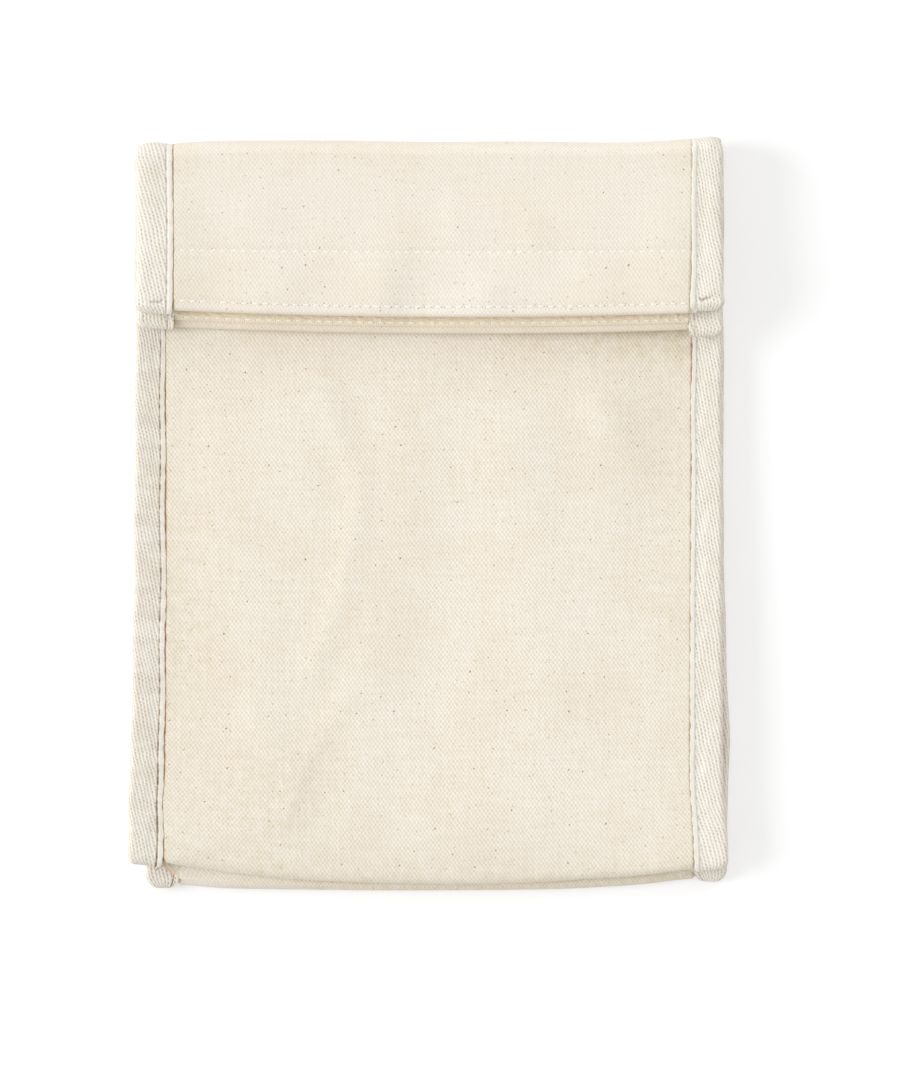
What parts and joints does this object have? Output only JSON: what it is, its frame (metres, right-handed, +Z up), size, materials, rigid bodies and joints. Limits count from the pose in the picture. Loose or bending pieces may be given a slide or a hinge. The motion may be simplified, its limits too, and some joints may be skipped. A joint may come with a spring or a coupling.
{
  "type": "insulated lunch bag",
  "caption": "Soft insulated lunch bag of natural canvas with taped seams and folding side gussets, pressed flat with its hook-and-loop mouth folded over the front.",
  "frame": {"origin": "bottom centre of the bounding box, on the surface that the flat bag lies on", "axes": "+X to the right across the bag, +Y from the bag's bottom towards the crease of its folded top, +Z up out of the front"},
  "size_m": [0.2, 0.254, 0.02],
  "materials": {
    "canvas": "undyed cotton duck canvas with seed flecks",
    "padding": "white closed-cell foam sheet, hidden",
    "lining": "matt silver laminate lining",
    "binding_tape": "undyed cotton twill tape",
    "loop_tape": "fuzzy tan loop tape",
    "hook_tape": "tan hook tape"
  },
  "bodies": {
    "back": {"back_canvas": "canvas", "back_padding": "padding", "back_lining": "lining", "back_crease_canvas": "canvas", "back_crease_padding": "padding", "back_crease_lining": "lining", "front_top_canvas": "canvas", "front_top_padding": "padding", "front_top_lining": "lining", "front_crease_canvas": "canvas", "front_crease_padding": "padding", "front_crease_lining": "lining", "left_gusset_canvas": "canvas", "left_gusset_padding": "padding", "left_gusset_lining": "lining", "left_gusset_crease": "canvas", "back_left_tape": "binding_tape", "back_left_tape_crease": "binding_tape", "front_left_tape_top": "binding_tape", "front_left_tape_crease": "binding_tape", "right_gusset_canvas": "canvas", "right_gusset_padding": "padding", "right_gusset_lining": "lining", "right_gusset_crease": "canvas", "back_right_tape": "binding_tape", "back_right_tape_crease": "binding_tape", "front_right_tape_top": "binding_tape", "front_right_tape_crease": "binding_tape"},
    "front": {"front_canvas": "canvas", "front_padding": "padding", "front_lining": "lining", "front_left_tape": "binding_tape", "left_gusset_front_leaf_canvas": "canvas", "left_gusset_front_leaf_padding": "padding", "left_gusset_front_leaf_lining": "lining", "front_right_tape": "binding_tape", "right_gusset_front_leaf_canvas": "canvas", "right_gusset_front_leaf_padding": "padding", "right_gusset_front_leaf_lining": "lining"},
    "flap_front": {"flap_front_canvas": "canvas", "flap_front_padding": "padding", "flap_front_lining": "lining", "loop_tape": "loop_tape", "flap_front_left_tape": "binding_tape", "left_gusset_flap_front_leaf": "canvas", "flap_front_right_tape": "binding_tape", "right_gusset_flap_front_leaf": "canvas"},
    "flap_back": {"flap_back_canvas": "canvas", "flap_back_padding": "padding", "flap_back_lining": "lining", "hook_tape": "hook_tape", "flap_back_left_tape": "binding_tape", "left_gusset_flap_back_leaf": "canvas", "flap_back_right_tape": "binding_tape", "right_gusset_flap_back_leaf": "canvas"}
  },
  "joints": [
    {"name": "front_swing", "type": "hinge", "parent": "back", "child": "front", "pos_m": [0, 0.06215, 0.0098], "axis": [-1, 0, 0], "range_deg": [0, 20]},
    {"name": "flap_fold", "type": "hinge", "parent": "back", "child": "flap_front", "pos_m": [0, 0.1225, 0.01], "axis": [-1, 0, 0], "range_deg": [0, 150], "deforming": ["back_crease_canvas", "back_crease_padding", "back_crease_lining", "front_crease_canvas", "front_crease_padding", "front_crease_lining", "left_gusset_crease", "back_left_tape_crease", "front_left_tape_crease", "right_gusset_crease", "back_right_tape_crease", "front_right_tape_crease"]},
    {"name": "mouth_open", "type": "hinge", "parent": "flap_front", "child": "flap_back", "pos_m": [0, 0.1225, 0.01], "axis": [-1, 0, 0], "range_deg": [0, 30]}
  ]
}
